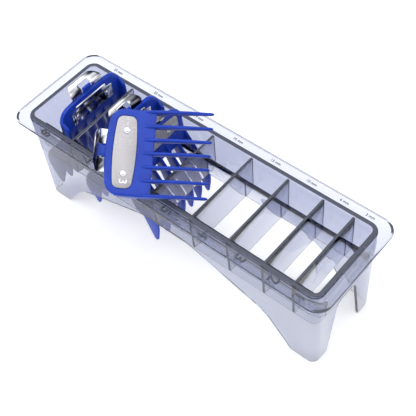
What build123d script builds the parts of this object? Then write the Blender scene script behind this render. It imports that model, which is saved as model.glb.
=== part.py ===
from build123d import *
from math import radians, tan
import os

# A see-through organizer tray with eight compartments, and four clipper guards (guide combs).
# Millimetres. The tray's feet stand on z = 0, X runs along the tray from the widest
# compartment to the narrowest, and Y runs across it. The pieces are drawn about the tray's
# own middle, and the whole set is then moved by SET_SHIFT, so that the origin is under the
# middle of the set with the guard that overhangs the tray's near side.

# Tray
TRAY_HEIGHT = 72.5
OPENING_LENGTH = 216.0
OPENING_WIDTH = 54.0
OPENING_RADIUS = 3.6
LIP_THICKNESS = 2.6
LIP_DEPTH = 3.0
FLANGE_SIDE = 7.0
FLANGE_END = 7.5
FLANGE_RADIUS = 9.5
FLANGE_DROP = 1.0
FLANGE_THICKNESS = 1.6
BEAD_WIDTH = 1.2
BEAD_HEIGHT = 0.4
WALL_TOP = TRAY_HEIGHT - LIP_DEPTH
DRAFT = tan(radians(1.2))
LEG_THICKNESS = 1.8
FLOOR = TRAY_HEIGHT - 28.8
DIVIDER_THICKNESS = 1.5
DIVIDER_TOP = TRAY_HEIGHT - 1.2
DIVIDER_X = [-73.2, -39.3, -7.2, 22.2, 48.9, 73.5, 94.1]
RAIL_INNER = 18.9
RAIL_OUTER = 20.3
RAIL_TOP = TRAY_HEIGHT - 14.3

# Arches between the feet
SIDE_FOOT_X = 92.4
SIDE_SHOULDER = (74.0, 24.0)
SIDE_CROWN_X = 18.0
END_FOOT_Y = 16.0
END_CROWN_Y = 8.5
END_CROWN_Z = 43.0

# Clipper guards, in their own frame: the name plate faces +X, the teeth point down,
# and z = 0 is the middle of the back edge.
GUARD_WIDTH = 50.5
HEEL_THICKNESS = 3.0
HEEL_HEIGHT = 19.5
BACK_BOW = 2.4
BACK_CORNER = 7.0
CHEEK_DEPTH = 7.0
CHEEK_HEIGHT = 32.0
CHEEK_THICKNESS = 1.8
WEB_HEIGHT = 27.7
WEB_THICKNESS = 2.2
RIDGE_START = 20.3
TOOTH_THICKNESS = 1.7
INNER_PITCH = 7.9
OUTER_TOOTH_Y = GUARD_WIDTH / 2 - TOOTH_THICKNESS / 2
BEND_HEIGHT = 0.72
PLATE_THICKNESS = 0.8
PLATE_WIDTH = 42.0
PLATE_TOP = 4.6
PLATE_BOTTOM = 17.8
PLATE_BOW = 1.5
RIVET_Y = 12.6
RIVET_Z = -11.6
RIVET_RADIUS = 1.1
RIVET_HEAD_RADIUS = 1.8
RIVET_HEAD_HEIGHT = 0.9
CLIP_THICKNESS = 0.6
FOOT_WIDTH = 34.0
FOOT_TOP = 5.8
FOOT_BOTTOM = 16.0
CLIP_WIDTH = 25.0
NECK_X = -1.5
NECK_BOTTOM = 4.2
NECK_CLEARANCE = 0.1
HINGE_Z = 1.0
HINGE_GAP = 0.1
BEND_RADIUS = 2.4
TAB_SLOPE = 22
TAB_LENGTH = 4.6
CURL_RADIUS = 1.3
LUG_WIDTH = 6.4
LUG_HEIGHT = 3.6
LUG_ROOT = -2.0
SLOT_CLEARANCE = 0.8

# Places. A stored guard's web stands on the support rails; guard_3 lies across the tray.
SET_SHIFT = (0, 5.4, 0)
STORED_Z = RAIL_TOP + WEB_HEIGHT + 0.6
LYING = Pos(-36.1, -32.1, 92.9) * Rot(0, 0, 33) * Rot(27, 0, 0) * Rot(0, -80.2, 0)
GUARDS = {
    "guard_8": {"cut": 25, "length": 71, "at": Pos(-84.6, 0, STORED_Z) * Rot(0, -2.5, 0) * Rot(0, 0, 180)},
    "guard_7": {"cut": 22, "length": 71, "at": Pos(-51.2, 0, STORED_Z) * Rot(0, 0, 180)},
    "guard_6": {"cut": 19, "length": 71, "at": Pos(-30.4, 0, STORED_Z) * Rot(0, -4, 0)},
    "guard_3": {"cut": 10, "length": 60, "at": LYING},
}


def block(x0, x1, y0, y1, z0, z1):
    centre = Pos((x0 + x1) / 2, (y0 + y1) / 2, (z0 + z1) / 2)
    return centre * Box(x1 - x0, y1 - y0, z1 - z0)


def slab(length, width, radius, low, high):
    """A rounded rectangle that stands from low to high."""
    return extrude(Pos(0, 0, low) * RectangleRounded(length, width, radius), high - low)


def drawn(grow, low, high):
    """The opening's outline, grown, and narrowing downwards with the walls' draft."""
    faces = []
    for z in (low, high):
        g = grow - (WALL_TOP - z) * DRAFT
        outline = RectangleRounded(OPENING_LENGTH + 2 * g, OPENING_WIDTH + 2 * g, OPENING_RADIUS + g)
        faces.append(Pos(0, 0, z) * outline)
    return loft(faces, ruled=True)


def quarters(shape):
    """The left end, right end, near side and far side of a ring round the tray."""
    far = 200
    left = shape & block(-far, -SIDE_FOOT_X, -far, far, -1, far)
    right = shape & block(SIDE_FOOT_X, far, -far, far, -1, far)
    near = shape & block(-SIDE_FOOT_X, SIDE_FOOT_X, -far, 0, -1, far)
    back = shape & block(-SIDE_FOOT_X, SIDE_FOOT_X, 0, far, -1, far)
    return left, right, near, back


def rim():
    """The raised lip round the opening, and the flat flange with its beaded edge."""
    lip_length = OPENING_LENGTH + 2 * LIP_THICKNESS
    lip_width = OPENING_WIDTH + 2 * LIP_THICKNESS
    length = lip_length + 2 * FLANGE_END
    width = lip_width + 2 * FLANGE_SIDE
    top = TRAY_HEIGHT - FLANGE_DROP
    low = top - FLANGE_THICKNESS
    ring = slab(lip_length, lip_width, OPENING_RADIUS + LIP_THICKNESS, WALL_TOP, TRAY_HEIGHT)
    flange = slab(length, width, FLANGE_RADIUS, low, top)
    bead = slab(length, width, FLANGE_RADIUS, low, top + BEAD_HEIGHT)
    bead -= slab(length - 2 * BEAD_WIDTH, width - 2 * BEAD_WIDTH, FLANGE_RADIUS - BEAD_WIDTH, 0, 100)
    hole = slab(OPENING_LENGTH, OPENING_WIDTH, OPENING_RADIUS, 0, 100)
    return ring + flange + bead - hole


def side_arch():
    """The gap between the feet of the two long walls, cut right across the tray."""
    shoulder_x, shoulder_z = SIDE_SHOULDER
    corners = [(SIDE_FOOT_X, -1), (SIDE_FOOT_X, 0), (shoulder_x, shoulder_z), (SIDE_CROWN_X, FLOOR)]
    corners += [(-x, z) for x, z in reversed(corners)]
    face = make_face(Polyline(*corners, close=True))
    face = fillet(face.vertices().filter_by_position(Axis.Y, FLOOR - 1, FLOOR + 1), 25)
    face = fillet(face.vertices().filter_by_position(Axis.Y, shoulder_z - 1, shoulder_z + 1), 25)
    return extrude(Plane.XZ * face, OPENING_WIDTH, both=True)


def end_arch():
    """The gap between the feet of the two end walls, cut along the tray."""
    corners = [(END_FOOT_Y, -1), (END_FOOT_Y, 0), (END_CROWN_Y, END_CROWN_Z)]
    corners += [(-y, z) for y, z in reversed(corners)]
    face = make_face(Polyline(*corners, close=True))
    face = fillet(face.vertices().filter_by_position(Axis.Y, END_CROWN_Z - 1, END_CROWN_Z + 1), 6)
    return extrude(Plane.YZ * face, OPENING_LENGTH, both=True)


def walls():
    shell = drawn(LIP_THICKNESS, 0, WALL_TOP) - drawn(0, FLOOR, WALL_TOP)
    shell -= drawn(LIP_THICKNESS - LEG_THICKNESS, -1, FLOOR)
    return shell - side_arch() - end_arch()


def inner_space():
    above = slab(OPENING_LENGTH, OPENING_WIDTH, OPENING_RADIUS, WALL_TOP, TRAY_HEIGHT)
    return drawn(0, FLOOR, WALL_TOP) + above


def divider(x):
    half = DIVIDER_THICKNESS / 2
    return inner_space() & block(x - half, x + half, -50, 50, FLOOR, DIVIDER_TOP)


def support_rail(side, dividers):
    """A low rail for the guards' webs, in one length between each pair of dividers."""
    near, far = sorted((side * RAIL_INNER, side * RAIL_OUTER))
    rail = inner_space() & block(-200, 200, near, far, FLOOR, RAIL_TOP)
    for plate in dividers:
        rail -= plate
    return rail


def heel_outline():
    """The guard's back seen square on: straight sides and a bowed top edge."""
    half = GUARD_WIDTH / 2
    left, right = (-half, -BACK_BOW), (half, -BACK_BOW)
    sides = Polyline(right, (half, -HEEL_HEIGHT), (-half, -HEEL_HEIGHT), left)
    face = make_face(ThreePointArc(left, (0, 0), right) + sides)
    return fillet(face.vertices().filter_by_position(Axis.Y, -BACK_BOW - 0.1, 0.1), BACK_CORNER)


def plate_outline(gap=0.0):
    """The name plate: both long edges are bowed, and the top one follows the guard's back."""
    top, low, half = gap - PLATE_TOP, -PLATE_BOTTOM - gap, PLATE_WIDTH / 2 + gap
    upper = [(-half, top - PLATE_BOW), (0, top), (half, top - PLATE_BOW)]
    lower = [(half, low + PLATE_BOW), (0, low), (-half, low + PLATE_BOW)]
    edges = ThreePointArc(*upper) + Line(upper[2], lower[0]) + ThreePointArc(*lower) + Line(lower[2], upper[0])
    return fillet(make_face(edges).vertices(), 3.0)


def tooth_profile(cut, length):
    """One tooth from the side: a straight inner edge, and a gently curved outer edge for the cut length."""
    tip_x = 0.55 * cut
    root = (0, -RIDGE_START)
    bend = (1.1 * cut - 5.0, -BEND_HEIGHT * length)
    tip = (tip_x + 2.4, -length)
    lean = 1.3 * (tip[0] - bend[0]) / (bend[1] - tip[1])
    inner = Polyline(tip, (tip_x, -length), (-HEEL_THICKNESS, -CHEEK_HEIGHT + 3), (-HEEL_THICKNESS, root[1]), root)
    outer = Spline(root, bend, tip, tangents=[(0.2 + 0.02 * cut, -1), (lean, -1)])
    face = make_face(inner + outer)
    return fillet(face.vertices().filter_by_position(Axis.Y, -length - 0.1, -length + 0.1), 1.0)


def cheek():
    """The side wall of the blade's seat."""
    corners = [(0, -BACK_BOW - 5), (-HEEL_THICKNESS, -BACK_BOW - 5), (-CHEEK_DEPTH, -12),
               (-CHEEK_DEPTH, -24), (-HEEL_THICKNESS, -CHEEK_HEIGHT), (0, -CHEEK_HEIGHT)]
    face = make_face(Polyline(*corners, close=True))
    face = fillet(face.vertices().filter_by_position(Axis.X, -CHEEK_DEPTH - 0.1, -CHEEK_DEPTH + 0.1), 2.5)
    return extrude(Plane.XZ * face, CHEEK_THICKNESS / 2, both=True)


def bar_along_x(radius, x0, x1):
    return Pos((x0 + x1) / 2, 0, 0) * Cylinder(radius, x1 - x0, rotation=(0, 90, 0))


def rivet_places():
    return [Pos(0, side * RIVET_Y, RIVET_Z) for side in (-1, 1)]


def clip_slot():
    """The way that the clip's neck takes through the heel, from its inside to its back edge."""
    inner = NECK_X - CLIP_THICKNESS / 2 - NECK_CLEARANCE
    outer = NECK_X + CLIP_THICKNESS / 2 + NECK_CLEARANCE
    half = CLIP_WIDTH / 2 + NECK_CLEARANCE
    low = -NECK_BOTTOM - NECK_CLEARANCE
    entry = block(-HEEL_THICKNESS - 1, outer, -half, half, low, low + CLIP_THICKNESS + 2 * NECK_CLEARANCE)
    return entry + block(inner, outer, -half, half, low, 5)


def comb(cut, length):
    """The moulded comb: heel, cheeks, web, seven teeth and the lug that locates the clip."""
    body = extrude(Plane.YZ * heel_outline(), -HEEL_THICKNESS) - clip_slot()
    web_x = 0.04 * cut + 0.8
    web = Polyline((0, -HEEL_HEIGHT + 1), (web_x, -WEB_HEIGHT), (web_x - WEB_THICKNESS, -WEB_HEIGHT),
                   (-HEEL_THICKNESS, -HEEL_HEIGHT - 1), (-HEEL_THICKNESS, -HEEL_HEIGHT + 1), close=True)
    body += extrude(Plane.XZ * make_face(web), GUARD_WIDTH / 2 - 0.5, both=True)
    tooth = extrude(Plane.XZ * tooth_profile(cut, length), TOOTH_THICKNESS / 2, both=True)
    for index in range(-2, 3):
        body += Pos(0, index * INNER_PITCH, 0) * tooth
    for side in (-1, 1):
        body += Pos(0, side * OUTER_TOOTH_Y, 0) * tooth
        body += Pos(0, side * (GUARD_WIDTH - CHEEK_THICKNESS) / 2, 0) * cheek()
    lug = block(-2.4, -0.6, -LUG_WIDTH / 2, LUG_WIDTH / 2, LUG_ROOT, LUG_HEIGHT)
    body += chamfer(lug.edges().group_by(Axis.Z)[-1], 0.6)
    body -= extrude(Plane.YZ * plate_outline(0.15), -PLATE_THICKNESS)
    for place in rivet_places():
        body -= place * bar_along_x(RIVET_RADIUS, -5, 1)
    return body


def name_plate():
    plate = extrude(Plane.YZ * plate_outline(), -PLATE_THICKNESS)
    for place in rivet_places():
        plate -= place * bar_along_x(RIVET_RADIUS, -5, 1)
    return plate


def rivets():
    """Two round-headed rivets through the plate, the heel and the clip's foot."""
    inner = -HEEL_THICKNESS - CLIP_THICKNESS
    head = bar_along_x(RIVET_HEAD_RADIUS, 0, RIVET_HEAD_HEIGHT)
    head = fillet(head.edges().group_by(Axis.X)[-1], 0.8 * RIVET_HEAD_HEIGHT)
    rivet = head + bar_along_x(RIVET_RADIUS, inner - 0.2, 0.2)
    rivet += bar_along_x(RIVET_HEAD_RADIUS, inner - 0.5, inner)
    left, right = rivet_places()
    return left * rivet + right * rivet


def neck_opening(low, high):
    """The gap in the clip that the comb's lug stands in."""
    half = LUG_WIDTH / 2 + SLOT_CLEARANCE
    return block(-5, NECK_X + 3.5, -half, half, low, high)


def clip_foot():
    """The flat part of the steel clip, riveted inside the heel, and its neck through the heel."""
    inner = -HEEL_THICKNESS - CLIP_THICKNESS
    half = CLIP_WIDTH / 2
    neck_low = NECK_X - CLIP_THICKNESS / 2
    neck_high = NECK_X + CLIP_THICKNESS / 2
    step = CLIP_THICKNESS - NECK_BOTTOM
    foot = block(inner, -HEEL_THICKNESS, -FOOT_WIDTH / 2, FOOT_WIDTH / 2, -FOOT_BOTTOM, -FOOT_TOP)
    foot += block(inner, -HEEL_THICKNESS, -half, half, -FOOT_TOP - 1, step)
    foot += block(inner, neck_high, -half, half, -NECK_BOTTOM, step)
    foot += block(neck_low, neck_high, -half, half, -NECK_BOTTOM, HINGE_Z)
    foot -= neck_opening(LUG_ROOT - 0.3, 5)
    for place in rivet_places():
        foot -= place * bar_along_x(RIVET_RADIUS, -5, 1)
    return foot


def clip_tab():
    """The springy end of the clip: it turns out over the plate's side and ends in a curled lip."""
    rise = Line((NECK_X, HINGE_Z + HINGE_GAP), (NECK_X, HINGE_Z + 0.6))
    bend = JernArc(rise @ 1, rise % 1, BEND_RADIUS, TAB_SLOPE - 90)
    slope = Line(bend @ 1, bend @ 1 + (bend % 1) * TAB_LENGTH)
    curl = JernArc(slope @ 1, slope % 1, CURL_RADIUS, -70)
    strip = trace(rise + bend + slope + curl, CLIP_THICKNESS)
    tab = extrude(Plane.XZ * strip, CLIP_WIDTH / 2, both=True)
    end = tab.bounding_box().max.X
    tab &= Pos(-10, 0, 0) * slab(2 * (end + 10), CLIP_WIDTH, 8.5, 0, 20)
    return tab - neck_opening(HINGE_Z - 1, 20)


def make_parts():
    parts = {}
    for kind, shape in (("rim", rim()), ("wall", walls())):
        for side, piece in zip(("left", "right", "near", "far"), quarters(shape)):
            parts[f"{side}_{kind}"] = piece
    dividers = [divider(x) for x in DIVIDER_X]
    for number, plate in enumerate(dividers, 1):
        parts[f"divider_{number}"] = plate
    parts["near_support_rail"] = support_rail(-1, dividers)
    parts["far_support_rail"] = support_rail(1, dividers)
    for name, guard in GUARDS.items():
        at = guard["at"]
        parts[f"{name}_comb"] = at * comb(guard["cut"], guard["length"])
        parts[f"{name}_name_plate"] = at * name_plate()
        parts[f"{name}_rivets"] = at * rivets()
        parts[f"{name}_clip_foot"] = at * clip_foot()
        parts[f"{name}_clip_tab"] = at * clip_tab()
    return parts


os.makedirs("parts", exist_ok=True)
for part_name, solid in make_parts().items():
    export_step(Pos(*SET_SHIFT) * solid, f"parts/{part_name}.step")
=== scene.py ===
"""Looks for the clipper guard set: a clear smoke-grey organizer tray and four blue guards."""
from math import cos, pi, radians, sin, sqrt, tan

import bmesh
import bpy
from mathutils import Matrix, Vector


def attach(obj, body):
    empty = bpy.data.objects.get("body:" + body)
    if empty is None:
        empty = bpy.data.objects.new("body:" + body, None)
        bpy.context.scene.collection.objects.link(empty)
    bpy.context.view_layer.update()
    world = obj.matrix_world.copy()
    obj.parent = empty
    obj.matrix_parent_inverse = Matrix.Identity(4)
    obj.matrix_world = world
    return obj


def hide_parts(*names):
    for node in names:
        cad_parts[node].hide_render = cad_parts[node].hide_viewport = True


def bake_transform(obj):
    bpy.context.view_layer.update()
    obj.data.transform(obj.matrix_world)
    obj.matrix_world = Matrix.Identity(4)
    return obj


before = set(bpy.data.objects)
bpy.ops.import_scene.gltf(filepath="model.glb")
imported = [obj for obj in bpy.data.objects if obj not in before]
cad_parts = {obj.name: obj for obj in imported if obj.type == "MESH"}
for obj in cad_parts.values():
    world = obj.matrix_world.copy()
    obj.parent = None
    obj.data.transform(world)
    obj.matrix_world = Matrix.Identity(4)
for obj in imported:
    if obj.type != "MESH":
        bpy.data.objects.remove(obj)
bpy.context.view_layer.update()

# Shapes are built in millimetres and scaled to metres when they are finished.
MM = 0.001

# Tray, as in the CAD model
TRAY_HEIGHT = 72.5
OPENING = (216.0, 54.0)
OPENING_RADIUS = 3.6
FLANGE_RADIUS = 9.5
LIP = 2.6
FLANGE_SIDE = 7.0
FLANGE_END = 7.5
FLANGE_TOP = TRAY_HEIGHT - 1.0
FLANGE_LOW = FLANGE_TOP - 1.1
BEAD = (1.2, 0.4)
DIGIT_Y = OPENING[1] / 2 + LIP + FLANGE_SIDE / 2 - 0.5
DIGIT_SIZE = 9.4
MARK_SIZE = 2.6
CUT_LENGTHS = [25, 22, 19, 16, 13, 10, 6, 3]
WALL_TOP = TRAY_HEIGHT - 3.0
DRAFT = tan(radians(1.2))
LEG_THICKNESS = 1.8
FLOOR = TRAY_HEIGHT - 28.8
DIVIDER_X = [-73.2, -39.3, -7.2, 22.2, 48.9, 73.5, 94.1]
DIVIDER_THICKNESS = 1.5
DIVIDER_TOP = TRAY_HEIGHT - 1.2
RAIL_Y = (18.9, 20.3)
RAIL_TOP = TRAY_HEIGHT - 14.3
FOOT_X = 92.4
SHOULDER = (74.0, 24.0)
CROWN_X = 18.0
END_FOOT_Y = 16.0
END_CROWN = (8.5, 43.0)

# The set stands on the far side of the frame's middle, because one guard overhangs the near side.
SET_SHIFT = Vector((0, 5.4, 0))

# Guards, in their own frame: the plate faces +X, the teeth point down, the back edge is z = 0.
WIDTH = 50.5
HEEL_THICKNESS = 3.0
HEEL_HEIGHT = 19.5
BACK_BOW = 2.4
BACK_CORNER = 7.0
CHEEK_DEPTH = 7.0
CHEEK_HEIGHT = 32.0
CHEEK_THICKNESS = 1.8
WEB_HEIGHT = 27.7
RIDGE_START = 20.3
BEND_HEIGHT = 0.72
TOOTH_THICKNESS = 1.7
TOOTH_Y = [-24.4, -15.8, -7.9, 0.0, 7.9, 15.8, 24.4]
PLATE_WIDTH = 42.0
PLATE_SPAN = (4.6, 17.8)
PLATE_BOW = 1.5
PLATE_THICKNESS = 0.8
RIVET_AT = (12.6, -11.6)
RIVET_RADIUS = 1.95
CLIP_THICKNESS = 0.6
CLIP_FOOT_X = -HEEL_THICKNESS - CLIP_THICKNESS / 2
NECK_X = -1.5
NECK_Z = -3.9
LUG_ROOT = -2.0
HINGE_Z = 1.05
CLIP_BEND_RADIUS = 2.4
TAB_SLOPE = radians(22)
TAB_LENGTH = 4.4
CURL_RADIUS = 1.3
CLIP_SLOT_HALF = 4.0
CLIP_FOOT_HALF = 17.0
CLIP_TAB_HALF = 12.5
CLIP_TAB_CORNER = 8.5
STORED_Z = RAIL_TOP + WEB_HEIGHT + 0.6


def turned(z=0.0, x=0.0, y=0.0):
    """A turn about Y, then X, then Z, in degrees."""
    turns = [Matrix.Rotation(radians(a), 4, axis) for a, axis in ((z, "Z"), (x, "X"), (y, "Y"))]
    return turns[0] @ turns[1] @ turns[2]


GUARDS = {
    "guard_8": (25, 71, Matrix.Translation((-84.6, 0, STORED_Z)) @ turned(y=-2.5) @ turned(z=180)),
    "guard_7": (22, 71, Matrix.Translation((-51.2, 0, STORED_Z)) @ turned(z=180)),
    "guard_6": (19, 71, Matrix.Translation((-30.4, 0, STORED_Z)) @ turned(y=-4)),
    "guard_3": (10, 60, Matrix.Translation((-36.1, -32.1, 92.9)) @ turned(33, 27, -80.2)),
}


# Mesh helpers

def new_object(name, mesh):
    obj = bpy.data.objects.new(name, mesh)
    bpy.context.scene.collection.objects.link(obj)
    return obj


def from_data(name, verts, faces):
    mesh = bpy.data.meshes.new(name)
    mesh.from_pydata([tuple(v) for v in verts], [], faces)
    bm = bmesh.new()
    bm.from_mesh(mesh)
    bmesh.ops.recalc_face_normals(bm, faces=bm.faces)
    bm.to_mesh(mesh)
    bm.free()
    return new_object(name, mesh)


def bake(obj):
    """Replaces the mesh by what its modifiers make of it."""
    graph = bpy.context.evaluated_depsgraph_get()
    mesh = bpy.data.meshes.new_from_object(obj.evaluated_get(graph))
    obj.modifiers.clear()
    obj.data = mesh
    return obj


def bevelled(obj, width, segments=2, angle=35):
    mod = obj.modifiers.new("edge", "BEVEL")
    mod.width = width
    mod.segments = segments
    mod.limit_method = "ANGLE"
    mod.angle_limit = radians(angle)
    return bake(obj)


def combined(target, others, operation):
    for other in others:
        mod = target.modifiers.new("join", "BOOLEAN")
        mod.object = other
        mod.operation = operation
        mod.solver = "EXACT"
        bake(target)
        bpy.data.objects.remove(other)
    return target


def rounded(corners, steps=5):
    """A closed 2-D outline from (x, y, radius) corners, each rounded by its radius."""
    points = []
    count = len(corners)
    for i, (x, y, r) in enumerate(corners):
        here = Vector((x, y))
        if r <= 0:
            points.append(here)
            continue
        back = (Vector(corners[i - 1][:2]) - here).normalized()
        ahead = (Vector(corners[(i + 1) % count][:2]) - here).normalized()
        half = back.angle(ahead) / 2
        centre = here + (back + ahead).normalized() * (r / sin(half))
        start = here + back * (r / tan(half)) - centre
        end = here + ahead * (r / tan(half)) - centre
        for k in range(steps + 1):
            points.append(centre + start.slerp(end, k / steps).normalized() * r)
    return points


def prism(name, outline, low, high, plane):
    """An outline drawn in a plane and pushed from low to high along its normal."""
    place = {"xz": lambda p, d: (p[0], d, p[1]), "yz": lambda p, d: (d, p[0], p[1])}[plane]
    n = len(outline)
    verts = [place(p, low) for p in outline] + [place(p, high) for p in outline]
    faces = [(i, (i + 1) % n, n + (i + 1) % n, n + i) for i in range(n)]
    faces += [tuple(range(n)), tuple(range(n, 2 * n))]
    return from_data(name, verts, faces)


def skin(name, rings, closed=False):
    """A surface through rings of points, capped at both ends unless it closes on itself."""
    n = len(rings[0])
    verts = [p for ring in rings for p in ring]
    spans = len(rings) if closed else len(rings) - 1
    faces = []
    for r in range(spans):
        a, b = r * n, (r + 1) % len(rings) * n
        faces += [(a + i, a + (i + 1) % n, b + (i + 1) % n, b + i) for i in range(n)]
    if not closed:
        faces += [tuple(range(n)), tuple(range(len(verts) - n, len(verts)))]
    return from_data(name, verts, faces)


def lettering(text, size, depth):
    """Raised characters as a closed mesh, lying in the XY plane with their feet at z = 0."""
    curve = bpy.data.curves.new("letters", "FONT")
    curve.body = text
    curve.size = size
    curve.extrude = depth / 2
    curve.align_x = "CENTER"
    curve.align_y = "CENTER"
    curve.resolution_u = 3
    obj = new_object("letters", curve)
    graph = bpy.context.evaluated_depsgraph_get()
    mesh = bpy.data.meshes.new_from_object(obj.evaluated_get(graph))
    bpy.data.objects.remove(obj)
    bm = bmesh.new()
    bm.from_mesh(mesh)
    bmesh.ops.remove_doubles(bm, verts=bm.verts, dist=1e-4)
    bmesh.ops.recalc_face_normals(bm, faces=bm.faces)
    bmesh.ops.translate(bm, verts=bm.verts, vec=(0, 0, depth / 2))
    bm.to_mesh(mesh)
    bm.free()
    return new_object("letters", mesh)


def joined(name, objects):
    bm = bmesh.new()
    for obj in objects:
        bm.from_mesh(obj.data)
        bpy.data.objects.remove(obj)
    mesh = bpy.data.meshes.new(name)
    bm.to_mesh(mesh)
    bm.free()
    return new_object(name, mesh)


def placed(obj, matrix):
    obj.data.transform(matrix)
    return obj


def finished(obj, name, material, nodes, body, smooth=35):
    """Scales a piece to metres, and gives it its material, its body and the CAD nodes it stands for."""
    obj.name = name
    obj.data.name = name
    obj.data.transform(Matrix.Scale(MM, 4) @ Matrix.Translation(SET_SHIFT))
    obj.data.materials.clear()
    obj.data.materials.append(material)
    obj.data.shade_smooth()
    obj.data.set_sharp_from_angle(angle=radians(smooth))
    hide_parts(*nodes)
    if body:
        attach(obj, body)
    return obj


# Materials

def material(name, **values):
    mat = bpy.data.materials.new(name)
    mat.use_nodes = True
    shader = mat.node_tree.nodes["Principled BSDF"]
    for key, value in values.items():
        shader.inputs[key.replace("_", " ")].default_value = value
    return mat, mat.node_tree, shader


def object_noise(tree, scale, stretch=(1, 1, 1), detail=3.0):
    """Noise in the object's own coordinates, stretched along its axes."""
    where = tree.nodes.new("ShaderNodeTexCoord")
    mapping = tree.nodes.new("ShaderNodeMapping")
    mapping.inputs["Scale"].default_value = stretch
    noise = tree.nodes.new("ShaderNodeTexNoise")
    noise.inputs["Scale"].default_value = scale
    noise.inputs["Detail"].default_value = detail
    tree.links.new(where.outputs["Object"], mapping.inputs["Vector"])
    tree.links.new(mapping.outputs["Vector"], noise.inputs["Vector"])
    return noise


def add_bump(tree, shader, noise, strength, distance):
    bump = tree.nodes.new("ShaderNodeBump")
    bump.inputs["Strength"].default_value = strength
    bump.inputs["Distance"].default_value = distance
    tree.links.new(noise.outputs["Fac"], bump.inputs["Height"])
    tree.links.new(bump.outputs["Normal"], shader.inputs["Normal"])


def add_ramp(tree, noise, socket, low, high):
    ramp = tree.nodes.new("ShaderNodeValToRGB")
    ramp.color_ramp.elements[0].position = 0.35
    ramp.color_ramp.elements[1].position = 0.65
    ramp.color_ramp.elements[0].color = low
    ramp.color_ramp.elements[1].color = high
    tree.links.new(noise.outputs["Fac"], ramp.inputs["Fac"])
    tree.links.new(ramp.outputs["Color"], socket)


def clear_smoke(name, color, transmission, roughness):
    """Tinted clear plastic. With a dark colour and a low transmission it makes painted shade: the dark
    edges that clear plastic shows where light is trapped inside it.
    """
    mat, tree, shader = material(name, Base_Color=color, Roughness=roughness, IOR=1.49)
    shader.inputs["Transmission Weight"].default_value = transmission
    shader.inputs["Specular IOR Level"].default_value = 0.3
    add_bump(tree, shader, object_noise(tree, 60, detail=1.0), 0.03, 0.0004)
    absorb = tree.nodes.new("ShaderNodeVolumeAbsorption")
    absorb.inputs["Color"].default_value = (0.11, 0.17, 0.44, 1)
    absorb.inputs["Density"].default_value = 305.0
    tree.links.new(absorb.outputs["Volume"], tree.nodes["Material Output"].inputs["Volume"])
    return mat


def blue_nylon():
    mat, tree, shader = material("blue_nylon", Roughness=0.33, IOR=1.52)
    shader.inputs["Specular IOR Level"].default_value = 0.28
    broad = object_noise(tree, 120, detail=2.0)
    add_ramp(tree, broad, shader.inputs["Base Color"], (0.006, 0.040, 0.40, 1), (0.009, 0.052, 0.48, 1))
    add_bump(tree, shader, object_noise(tree, 3500), 0.12, 0.00005)
    return mat


def brushed_aluminium():
    mat, tree, shader = material("brushed_aluminium", Metallic=0.75, Roughness=0.48)
    shader.inputs["Anisotropic"].default_value = 0.4
    brush = object_noise(tree, 2600, stretch=(1, 1, 0.03), detail=4.0)
    add_ramp(tree, brush, shader.inputs["Base Color"], (0.36, 0.345, 0.36, 1), (0.56, 0.54, 0.56, 1))
    add_bump(tree, shader, brush, 0.05, 0.00002)
    return mat


def steel(name, color, roughness):
    mat, tree, shader = material(name, Metallic=1.0, Roughness=roughness)
    marks = object_noise(tree, 700, detail=4.0)
    add_ramp(tree, marks, shader.inputs["Base Color"], color, tuple(min(1.0, c * 1.06) for c in color))
    add_bump(tree, shader, object_noise(tree, 180, detail=1.0), 0.05, 0.0002)
    return mat


def chrome():
    """Polished steel with painted reflections: its base colour runs in stretched noise bands from near
    black to white.
    """
    mat, tree, shader = material("clip_chrome", Metallic=1.0, Roughness=0.08)
    # Painted reflections: stretched noise bands in the base colour, from near black to white.
    painted_reflection_bands = object_noise(tree, 210, stretch=(1, 0.35, 1), detail=1.0)
    add_ramp(tree, painted_reflection_bands, shader.inputs["Base Color"], (0.02, 0.022, 0.04, 1), (0.85, 0.85, 0.88, 1))
    add_bump(tree, shader, object_noise(tree, 180, detail=1.0), 0.05, 0.0002)
    return mat


# Tray

def ring_profile():
    """The tray wall's section, as (distance outside the opening, height, share of the flange)."""
    at_floor = (WALL_TOP - FLOOR) * DRAFT
    at_foot = WALL_TOP * DRAFT
    inside_leg = LIP - LEG_THICKNESS
    edge = LIP + FLANGE_SIDE
    corners = [
        (0, TRAY_HEIGHT, 0.25), (LIP, TRAY_HEIGHT, 0.3), (LIP, FLANGE_TOP, 0.25),
        (edge - BEAD[0], FLANGE_TOP, 0.12), (edge - BEAD[0] + 0.1, FLANGE_TOP + BEAD[1], 0.12),
        (edge, FLANGE_TOP + BEAD[1], 0.45), (edge, FLANGE_LOW, 0.35), (LIP, FLANGE_LOW, 0.6),
        (LIP - at_foot, 0, 0.5), (inside_leg - at_foot, 0, 0.4),
        (inside_leg - at_floor, FLOOR, 0.1), (-at_floor, FLOOR, 0.4), (0, WALL_TOP, 0),
    ]
    points = rounded(corners, 4)
    return [(p.x, p.y, min(max((p.x - LIP) / FLANGE_SIDE, 0), 1)) for p in points]


def tray_ring():
    """Walls, legs, lip and flange: one section carried round the rounded opening."""
    steps = 12
    rings = []
    for quarter, (sx, sy) in enumerate(((1, 1), (-1, 1), (-1, -1), (1, -1))):
        for k in range(steps + 1):
            a = pi / 2 * (quarter + k / steps)
            ring = []
            for grow, height, share in ring_profile():
                at_lip = OPENING_RADIUS + min(grow, LIP)
                radius = at_lip + share * (FLANGE_RADIUS - at_lip)
                half_x = OPENING[0] / 2 + grow + share * (FLANGE_END - FLANGE_SIDE)
                half_y = OPENING[1] / 2 + grow
                x = sx * (half_x - radius) + radius * cos(a)
                ring.append((x, sy * (half_y - radius) + radius * sin(a), height))
            rings.append(ring)
    return skin("tray", rings, closed=True)


def arch(name, foot, shoulder, crown, reach, plane, radii):
    half = [(foot, -5, 0), (foot, 0, 0), (*shoulder, radii[0]), (*crown, radii[1])]
    other = [(-x, z, r) for x, z, r in reversed(half)]
    outline = rounded([c for c in half + other if c[2] >= 0], 10)
    return prism(name, outline, -reach, reach, plane)


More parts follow.
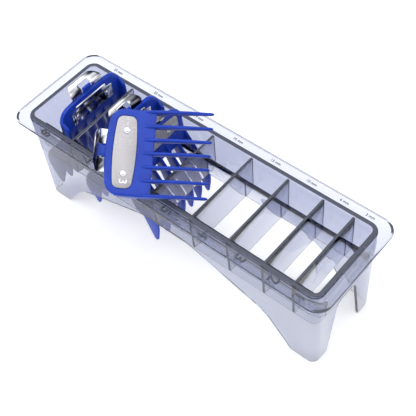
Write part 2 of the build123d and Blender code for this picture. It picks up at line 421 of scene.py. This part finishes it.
def divider(x):
    half = DIVIDER_THICKNESS / 2
    base = FLOOR + 0.05
    corners = [(x - half, base, 0.3), (x + half, base, 0.3)]
    corners += [(x + half, DIVIDER_TOP, 0.15), (x - half, DIVIDER_TOP, 0.15)]
    reach = OPENING[1] / 2 + 0.8
    return prism("divider", rounded(corners, 3), -reach, reach, "xz")


def rail(side):
    near, far = sorted(side * y for y in RAIL_Y)
    base = FLOOR + 0.05
    corners = [(near, base, 0.3), (far, base, 0.3), (far, RAIL_TOP, 0.15), (near, RAIL_TOP, 0.15)]
    reach = OPENING[0] / 2 + 0.3
    return prism("rail", rounded(corners, 3), -reach, reach, "yz")


def tray_numbers():
    """Compartment numbers on the near flange and cut lengths on the far one."""
    edges = [-OPENING[0] / 2] + DIVIDER_X + [OPENING[0] / 2]
    glyphs = []
    for i, length in enumerate(CUT_LENGTHS):
        x = (edges[i] + edges[i + 1]) / 2
        digit, mark = (str(8 - i), DIGIT_SIZE, -DIGIT_Y), (f"{length} mm", MARK_SIZE, DIGIT_Y)
        for text, size, y in (digit, mark):
            turn = Matrix.Rotation(-pi / 2, 4, "Z") if y < 0 else Matrix.Identity(4)
            place = Matrix.Translation((x, y, FLANGE_TOP - 0.1)) @ turn
            glyphs.append(placed(lettering(text, size, 0.2 + size * 0.06), place))
    return joined("numbers", glyphs)


def is_dark(face):
    """Whether a face of the finished tray is on the lip, a divider's top, a digit or the flange's edge: the
    faces that get the painted dark edge shade.
    """
    x, y, height = face.center / MM - SET_SHIFT
    x, y = abs(x), abs(y)
    if face.normal.z > 0.9 and x < OPENING[0] / 2 + LIP and y < OPENING[1] / 2 + LIP:
        return height > DIVIDER_TOP - 0.05
    if height > FLANGE_TOP + 0.02 and DIGIT_Y - 2.9 < y < DIGIT_Y + 2.6:
        return True
    beyond_x = max(x - (OPENING[0] / 2 + LIP + FLANGE_END - FLANGE_RADIUS), 0)
    beyond_y = max(y - (OPENING[1] / 2 + LIP + FLANGE_SIDE - FLANGE_RADIUS), 0)
    on_rim = sqrt(beyond_x ** 2 + beyond_y ** 2) > FLANGE_RADIUS - 0.3
    return on_rim and height > FLANGE_LOW and abs(face.normal.z) < 0.5


def build_tray(mat, edge_shade_mat):
    tray = tray_ring()
    side = arch("side_arch", FOOT_X, SHOULDER, (CROWN_X, FLOOR), 40, "xz", (25, 25))
    end = arch("end_arch", END_FOOT_Y, (END_FOOT_Y - 3.5, 20), END_CROWN, 120, "yz", (15, 6))
    combined(tray, [side, end], "DIFFERENCE")
    combined(tray, [divider(x) for x in DIVIDER_X] + [rail(-1), rail(1)], "UNION")
    combined(tray, [tray_numbers()], "UNION")
    names = [f"{side}_{kind}" for side in ("left", "right", "near", "far") for kind in ("rim", "wall")]
    names += [f"divider_{i + 1}" for i in range(len(DIVIDER_X))] + ["near_support_rail", "far_support_rail"]
    finished(tray, "tray_moulding", mat, names, "tray")
    # The second material is painted shade, standing in for the dark edges of clear plastic on the lip,
    # divider tops, digits and flange rim.
    tray.data.materials.append(edge_shade_mat)
    for face in tray.data.polygons:
        if is_dark(face):
            face.material_index = 1
    return tray


# Guards

def resampled(outline, count=112):
    """The same closed outline with its points evenly spaced."""
    loop = outline + [outline[0]]
    run = [0.0]
    for p, q in zip(loop, loop[1:]):
        run.append(run[-1] + (q - p).length)
    points, k = [], 0
    for i in range(count):
        target = run[-1] * i / count
        while run[k + 1] < target:
            k += 1
        points.append(loop[k].lerp(loop[k + 1], (target - run[k]) / (run[k + 1] - run[k])))
    return points


def back_outline(grow):
    """The heel and web seen square on, from the middle of the slots' line round to it again."""
    half, top, low = WIDTH / 2 + grow, grow - BACK_BOW, -WEB_HEIGHT - grow
    corner = BACK_CORNER + grow
    corners = [(0, low, 0), (half, low, 1 + max(grow, 0)), (half, top, corner), (-half, top, corner),
               (-half, low, 1 + max(grow, 0))]
    points = resampled(rounded(corners, 6))
    for p in points:
        share = min(max((p.y - top + 12) / 12, 0), 1)
        p.y += BACK_BOW * share * (1 - (p.x / half) ** 2)
    return points


def plate_outline(grow):
    """The name plate seen square on: both long edges are bowed."""
    half, top, low = PLATE_WIDTH / 2 + grow, grow - PLATE_SPAN[0], -PLATE_SPAN[1] - grow
    upper, lower = top - PLATE_BOW, low + PLATE_BOW
    corners = [(0, lower, 0), (half, lower, 3 + grow), (half, upper, 3 + grow), (-half, upper, 3 + grow),
               (-half, lower, 3 + grow)]
    points = resampled(rounded(corners, 6))
    for p in points:
        share = 2 * (p.y - lower) / (upper - lower) - 1
        p.y += PLATE_BOW * share * (1 - (p.x / half) ** 2)
    return points


def shrunk(outline, share):
    centre = Vector((0, -PLATE_SPAN[1] / 2 - 2))
    return [centre.lerp(p, share) for p in outline]


def mixed(first, second, share):
    return [p.lerp(q, share) for p, q in zip(first, second)]


def flared(x, z, reach):
    """Where a point of the heel goes once the web below the plate leans outwards."""
    share = min(max((1.2 - HEEL_HEIGHT - z) / (WEB_HEIGHT - HEEL_HEIGHT + 1.2), 0), 1)
    return x * (1 - 0.27 * share) + reach * share ** 1.4


def heel(cut):
    """The heel and web in one skin, with a rounded edge and the recess that the plate lies in."""
    back, seat = -HEEL_THICKNESS, -PLATE_THICKNESS
    edge, rim = back_outline(-0.9), plate_outline(0.75)
    sections = [(shrunk(edge, k), back) for k in (0.1, 0.4, 0.7, 0.88)]
    sections += [(edge, back), (back_outline(-0.3), back + 0.2), (back_outline(0), back + 0.8)]
    sections += [(back_outline(0), -0.9), (back_outline(-0.25), -0.3), (edge, 0)]
    sections += [(mixed(edge, rim, k / 4), 0) for k in (1, 2, 3, 4)]
    sections += [(plate_outline(0.35), -0.08), (plate_outline(0.18), -0.35), (plate_outline(0.15), seat)]
    sections += [(shrunk(plate_outline(0.15), k), seat) for k in (0.8, 0.4, 0.1)]
    reach = 0.04 * cut + 0.8
    rings = [[(flared(x, p.y, reach), p.x, p.y) for p in outline] for outline, x in sections]
    return skin("heel", rings)


def cheek(y):
    outline = rounded([(-0.4, -7.4, 0.6), (-2.4, -7.4, 1), (-CHEEK_DEPTH, -12, 3), (-CHEEK_DEPTH, -24, 3),
                       (-2.4, -CHEEK_HEIGHT, 1), (-0.4, -CHEEK_HEIGHT, 1)], 4)
    half = CHEEK_THICKNESS / 2
    return bevelled(prism("cheek", outline, y - half, y + half, "xz"), 0.3)


def hermite(p0, p1, m0, m1, t):
    a, b = 2 * t ** 3 - 3 * t ** 2 + 1, t ** 3 - 2 * t ** 2 + t
    c, d = 3 * t ** 2 - 2 * t ** 3, t ** 3 - t ** 2
    return a * p0 + b * m0 + c * p1 + d * m1


def tooth_section(cut, length, z):
    """Where a tooth's inner and outer edges are at a height z below the back edge."""
    bend_z, tip_x = -BEND_HEIGHT * length, 0.55 * cut
    bend, tip = 1.1 * cut - 5.0, tip_x + 2.4
    upper, lower = -RIDGE_START - bend_z, bend_z + length
    lean = (bend / upper + (tip - bend) / lower) / 2
    ease = 1.3 * (tip - bend) / lower
    if z > bend_z:
        outer = hermite(0, bend, (0.2 + 0.02 * cut) * upper, lean * upper, (-RIDGE_START - z) / upper)
    else:
        outer = hermite(bend, tip, lean * lower, ease * lower, (bend_z - z) / lower)
    share = max((3 - CHEEK_HEIGHT - z) / (length + 3 - CHEEK_HEIGHT), 0)
    inner = 0.2 - HEEL_THICKNESS + (tip_x - 0.2 + HEEL_THICKNESS) * share
    return inner, outer


def tooth(cut, length, y):
    """A thin blade with rounded edges and a rounded tip, standing proud of the web as a ridge."""
    rings = []
    start, stop, count = -RIDGE_START, -length, 34
    for k in range(count + 1):
        z = start + (stop - start) * k / count
        inner, outer = tooth_section(cut, length, z)
        half = 0.5 * TOOTH_THICKNESS * (1.22 - 0.24 * k / count)
        to_tip = z - stop
        if to_tip < 1.6:
            blunt = sqrt(max(1 - (1 - to_tip / 1.6) ** 2, 0.03))
            middle = (inner + outer) / 2
            inner, outer = middle + (inner - middle) * blunt, middle + (outer - middle) * blunt
            half *= 0.4 + 0.6 * blunt
        rings.append([(x, y + w, z) for x, w in lozenge(inner, outer, half)])
    return skin("tooth", rings)


def lozenge(inner, outer, half):
    """A slab's section, rounded at both ends."""
    r = min(half, (outer - inner) / 2) * 0.98
    points = []
    for centre, start in ((outer - r, -pi / 2), (inner + r, pi / 2)):
        for k in range(7):
            a = start + pi * k / 6
            points.append((centre + r * cos(a), half * sin(a)))
    return points


def lug():
    outline = rounded([(-2.4, LUG_ROOT, 0), (-0.6, LUG_ROOT, 0), (-0.6, 3.6, 0.6), (-2.4, 3.6, 0.6)], 4)
    return bevelled(prism("lug", outline, -3.2, 3.2, "xz"), 0.4, 2, 50)


def build_comb(name, cut, length, place, mat):
    parts = [heel(cut), lug()]
    parts += [cheek(side * (WIDTH - CHEEK_THICKNESS) / 2) for side in (-1, 1)]
    parts += [tooth(cut, length, y) for y in TOOTH_Y]
    comb = placed(joined("comb", parts), place)
    return finished(comb, f"{name}_comb_moulding", mat, [f"{name}_comb"], name, 40)


def build_plate(name, number, cut, place, mat, digit_mat):
    plate = bevelled(prism("plate", plate_outline(0.0), -PLATE_THICKNESS, 0.05, "yz"), 0.15, 2, 50)
    inverted = Matrix(((0, 0, 1, 0), (-1, 0, 0, 0), (0, -1, 0, 0), (0, 0, 0, 1)))
    glyphs = []
    for text, size, y in ((str(number), 6.4, -17.2), (f"{cut} mm", 2.0, 17.6)):
        spot = Matrix.Translation((0, y, RIVET_AT[1])) @ inverted
        glyphs.append(placed(lettering(text, size, 0.35), spot))
    bare = len(plate.data.polygons)
    plate = placed(joined("plate", [plate] + glyphs), place)
    finished(plate, f"{name}_plate", mat, [f"{name}_name_plate"], name)
    plate.data.materials.append(digit_mat)
    for face in plate.data.polygons[bare:]:
        face.material_index = 1
    return plate


def rivet(y, z):
    """A grooved head on the plate and a flat set end inside, turned about X."""
    tail = -HEEL_THICKNESS - CLIP_THICKNESS
    section = [(tail - 0.5, 1.3), (tail - 0.4, RIVET_RADIUS - 0.1), (tail, RIVET_RADIUS), (tail, 0.9)]
    section += [(-0.2, 0.9), (0.02, RIVET_RADIUS), (0.35, RIVET_RADIUS), (0.45, RIVET_RADIUS - 0.15)]
    section += [(0.12, RIVET_RADIUS - 0.4), (0.12, RIVET_RADIUS - 0.6)]
    section += [(0.5, 1.25), (0.75, 1.05), (0.88, 0.6)]
    rings = []
    for x, r in section:
        rings.append([(x, y + r * cos(a), z + r * sin(a)) for a in (2 * pi * k / 24 for k in range(24))])
    return skin("rivet", rings)


def build_rivets(name, place, mat):
    pair = joined("rivets", [rivet(side * RIVET_AT[0], RIVET_AT[1]) for side in (-1, 1)])
    placed(pair, place)
    return finished(pair, f"{name}_rivet_pair", mat, [f"{name}_rivets"], name)


def clip_path():
    """The clip's middle line from its foot, through the heel, to its curled lip, as (x, z) points."""
    points = [(CLIP_FOOT_X, -16 + (15.5 + NECK_Z) * k / 10) for k in range(11)]
    points += [(CLIP_FOOT_X + 0.15, NECK_Z - 0.15), (CLIP_FOOT_X + 0.5, NECK_Z), (NECK_X - 0.5, NECK_Z)]
    points += [(NECK_X - 0.15, NECK_Z + 0.15), (NECK_X, NECK_Z + 0.5)]
    points += [(NECK_X, LUG_ROOT - 0.3 + 3.9 * k / 8) for k in range(9)]
    radius, slope = CLIP_BEND_RADIUS, TAB_SLOPE
    centre = (NECK_X + radius, HINGE_Z + 0.6)
    for k in range(1, 9):
        a = pi - (pi / 2 - slope) * k / 8
        points.append((centre[0] + radius * cos(a), centre[1] + radius * sin(a)))
    end = points[-1]
    for k in range(1, 7):
        reach = TAB_LENGTH * k / 6
        points.append((end[0] + reach * cos(slope), end[1] + reach * sin(slope)))
    end = points[-1]
    curl = CURL_RADIUS
    centre = (end[0] + curl * sin(slope), end[1] - curl * cos(slope))
    for k in range(1, 7):
        a = pi / 2 + slope - radians(66) * k / 6
        points.append((centre[0] + curl * cos(a), centre[1] + curl * sin(a)))
    return points


def build_clip(name, place, mat):
    path = clip_path()
    run = [0.0]
    for a, b in zip(path, path[1:]):
        run.append(run[-1] + sqrt((b[0] - a[0]) ** 2 + (b[1] - a[1]) ** 2))
    total = run[-1]
    slot, corner = CLIP_SLOT_HALF, CLIP_TAB_CORNER
    verts, faces = [], []
    across = 13
    for (x, z), s in zip(path, run):
        left = total - s
        half = CLIP_TAB_HALF if z > -5.8 else CLIP_FOOT_HALF
        if left < corner:
            half = CLIP_TAB_HALF - corner + sqrt(max(corner ** 2 - (corner - left) ** 2, 0.0)) + 0.2
        for k in range(across):
            share = k / (across - 1) * 2 - 1
            outer = max(abs(share) - 1 / 3, 0) * 1.5
            y = slot * min(abs(share) * 3, 1) + (half - slot) * outer
            verts.append((x, y if share > 0 else -y, z))
    for r in range(len(path) - 1):
        in_slot = path[r][1] > LUG_ROOT - 0.4 and path[r + 1][0] < 2.2
        for k in range(across - 1):
            if in_slot and 4 <= k < 8:
                continue
            a = r * across + k
            faces.append((a, a + 1, a + 1 + across, a + across))
    clip = from_data("clip", verts, faces)
    loose = bmesh.new()
    loose.from_mesh(clip.data)
    bmesh.ops.delete(loose, geom=[v for v in loose.verts if not v.link_faces], context="VERTS")
    loose.to_mesh(clip.data)
    loose.free()
    mod = clip.modifiers.new("strip", "SOLIDIFY")
    mod.thickness = CLIP_THICKNESS - 0.06
    mod.offset = 0
    bake(clip)
    bevelled(clip, 0.12, 2, 50)
    placed(clip, place)
    nodes = [f"{name}_clip_foot", f"{name}_clip_tab"]
    finished(clip, f"{name}_clip_strip", mat, nodes, None, 50)
    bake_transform(clip)
    return clip


# Studio and camera. The camera's turns are its azimuth, elevation and roll, its place is in metres.

CAMERA_TURNS = (radians(45.304), radians(52.4), radians(-6.53))
CAMERA_PLACE = Vector((0.25782, -0.24757, 0.49353))
LAMPS = {"key": ((-0.25, -0.2, 1.2), 1.6, 13), "fill": ((0.8, 0.5, 1.0), 1.2, 4)}


def studio():
    world = bpy.data.worlds.new("studio")
    bpy.context.scene.world = world
    world.use_nodes = True
    world.node_tree.nodes["Background"].inputs["Color"].default_value = (0.93, 0.96, 1.0, 1)
    world.node_tree.nodes["Background"].inputs["Strength"].default_value = 0.5
    for name, (spot, size, power) in LAMPS.items():
        light = bpy.data.lights.new(name, "AREA")
        light.size = size
        light.energy = power
        lamp = new_object(name, light)
        lamp.location = spot
        lamp.rotation_euler = (-Vector(spot)).to_track_quat("-Z", "Y").to_euler()
    floor = from_data("floor", [(-30, -30, 0), (30, -30, 0), (30, 30, 0), (-30, 30, 0)], [(0, 1, 2, 3)])
    floor.location.z = -0.0003
    mat, tree, shader = material("pale_floor", Roughness=0.8)
    shader.inputs["Base Color"].default_value = (0.92, 0.92, 0.93, 1)
    shader.inputs["Emission Color"].default_value = (1, 1, 1, 1)
    shader.inputs["Emission Strength"].default_value = 0.42
    floor.data.materials.append(mat)
    bpy.context.scene.view_settings.view_transform = "Standard"


def camera():
    """Looks down on the tray's near right corner, from where the photographer stood."""
    data = bpy.data.cameras.new("camera")
    data.lens = 82.27
    data.sensor_width = 36
    data.shift_x = 0.0022
    data.shift_y = 0.0085
    cam = new_object("camera", data)
    azimuth, elevation, roll = CAMERA_TURNS
    back = Vector((sin(azimuth) * cos(elevation), -cos(azimuth) * cos(elevation), sin(elevation)))
    right = (-back).cross(Vector((0, 0, 1))).normalized()
    up = right.cross(-back)
    turn = Matrix.Rotation(roll, 3, back)
    right, up = turn @ right, turn @ up
    place = Matrix.Translation(CAMERA_PLACE + SET_SHIFT * MM)
    cam.matrix_world = place @ Matrix((right, up, back)).transposed().to_4x4()
    bpy.context.scene.camera = cam


tray_plastic = clear_smoke("clear_smoke", (1, 1, 1, 1), 1.0, 0.02)
# Painted shade: a dark, barely clear copy of the tray plastic for the dark edges of the lip, divider tops,
# digits and flange rim.
edge_shade_plastic = clear_smoke("painted_edge_shade", (0.11, 0.12, 0.16, 1), 0.25, 0.25)
blue = blue_nylon()
aluminium = brushed_aluminium()
rivet_steel = steel("rivet_steel", (0.72, 0.72, 0.74, 1), 0.18)
clip_chrome = chrome()
bright_digit = steel("bright_digit", (0.92, 0.92, 0.93, 1), 0.55)

build_tray(tray_plastic, edge_shade_plastic)
for guard_name, (cut_length, tooth_length, placing) in GUARDS.items():
    build_comb(guard_name, cut_length, tooth_length, placing, blue)
    build_plate(guard_name, guard_name[-1], cut_length, placing, aluminium, bright_digit)
    build_rivets(guard_name, placing, rivet_steel)
    build_clip(guard_name, placing, clip_chrome)
studio()
camera()
